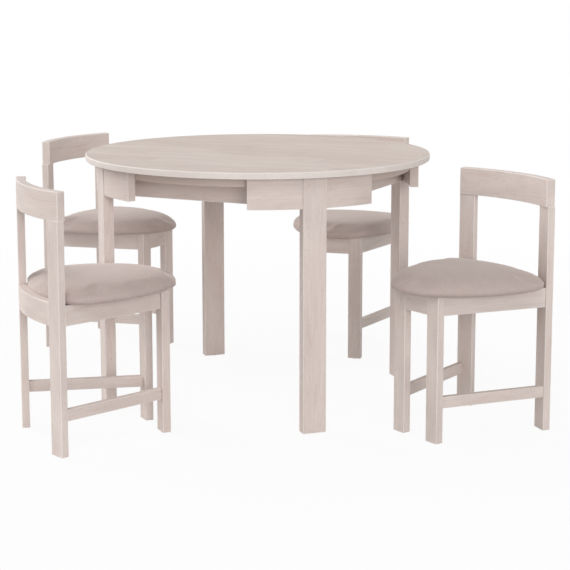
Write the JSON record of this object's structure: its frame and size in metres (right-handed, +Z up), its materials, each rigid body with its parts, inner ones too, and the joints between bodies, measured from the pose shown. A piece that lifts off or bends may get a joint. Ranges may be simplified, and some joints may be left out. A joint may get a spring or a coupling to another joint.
{
  "type": "dining table and chairs set",
  "caption": "Round dining table on flat legs with curved shoulders, and padded chairs whose curved crest rails close the ring under its top when tucked in.",
  "frame": {"origin": "the floor point under the middle of the whole set's box, with the chairs drawn out as in the picture", "axes": "+Z up; +X to the right and +Y away from the viewer as the picture shows the set"},
  "size_m": [1.565, 1.56, 0.75],
  "materials": {
    "top_wood": "satin lacquer over whitewash",
    "frame_wood": "satin lacquer over whitewash",
    "hidden_wood": "sanded, thin whitewash",
    "pad_fabric": "brushed suede-like cloth"
  },
  "bodies": {
    "table": {"tabletop": "top_wood", "sub_top": "hidden_wood", "table_leg_front": "frame_wood", "table_leg_right": "frame_wood", "table_leg_back": "frame_wood", "table_leg_left": "frame_wood", "shoulder_front": "frame_wood", "shoulder_right": "frame_wood", "shoulder_back": "frame_wood", "shoulder_left": "frame_wood", "apron_half_front": "frame_wood", "apron_half_back": "frame_wood"},
    "front_left_chair": {"front_left_crest_rail": "frame_wood", "front_left_front_apron": "frame_wood", "front_left_rear_apron": "frame_wood", "front_left_rear_post_right": "frame_wood", "front_left_rear_post_left": "frame_wood", "front_left_front_leg_right": "frame_wood", "front_left_front_leg_left": "frame_wood", "front_left_side_apron_right": "frame_wood", "front_left_side_apron_left": "frame_wood", "front_left_side_stretcher_right": "frame_wood", "front_left_side_stretcher_left": "frame_wood", "front_left_seat_pad": "pad_fabric"},
    "back_left_chair": {"back_left_crest_rail": "frame_wood", "back_left_front_apron": "frame_wood", "back_left_rear_apron": "frame_wood", "back_left_rear_post_right": "frame_wood", "back_left_rear_post_left": "frame_wood", "back_left_front_leg_right": "frame_wood", "back_left_front_leg_left": "frame_wood", "back_left_side_apron_right": "frame_wood", "back_left_side_apron_left": "frame_wood", "back_left_side_stretcher_right": "frame_wood", "back_left_side_stretcher_left": "frame_wood", "back_left_seat_pad": "pad_fabric"},
    "front_right_chair": {"front_right_crest_rail": "frame_wood", "front_right_front_apron": "frame_wood", "front_right_rear_apron": "frame_wood", "front_right_rear_post_right": "frame_wood", "front_right_rear_post_left": "frame_wood", "front_right_front_leg_right": "frame_wood", "front_right_front_leg_left": "frame_wood", "front_right_side_apron_right": "frame_wood", "front_right_side_apron_left": "frame_wood", "front_right_side_stretcher_right": "frame_wood", "front_right_side_stretcher_left": "frame_wood", "front_right_seat_pad": "pad_fabric"},
    "back_right_chair": {"back_right_crest_rail": "frame_wood", "back_right_front_apron": "frame_wood", "back_right_rear_apron": "frame_wood", "back_right_rear_post_right": "frame_wood", "back_right_rear_post_left": "frame_wood", "back_right_front_leg_right": "frame_wood", "back_right_front_leg_left": "frame_wood", "back_right_side_apron_right": "frame_wood", "back_right_side_apron_left": "frame_wood", "back_right_side_stretcher_right": "frame_wood", "back_right_side_stretcher_left": "frame_wood", "back_right_seat_pad": "pad_fabric"}
  },
  "joints": [
    {"name": "front_left_chair_tuck", "type": "hinge", "parent": "table", "child": "front_left_chair", "pos_m": [-0.60084, 0.01301, 0], "axis": [0, 0, 1], "range_deg": [0, 38.3]},
    {"name": "back_left_chair_tuck", "type": "hinge", "parent": "table", "child": "back_left_chair", "pos_m": [6.485, 3.55975, 0], "axis": [0, 0, 1], "range_deg": [0, 4.2]},
    {"name": "front_right_chair_tuck", "type": "hinge", "parent": "table", "child": "front_right_chair", "pos_m": [0.60089, -0.09705, 0], "axis": [0, 0, 1], "range_deg": [-62.6, 0]},
    {"name": "back_right_chair_tuck", "type": "hinge", "parent": "table", "child": "back_right_chair", "pos_m": [-1.6511, 1.36893, 0], "axis": [0, 0, 1], "range_deg": [-9.9, 0]}
  ]
}
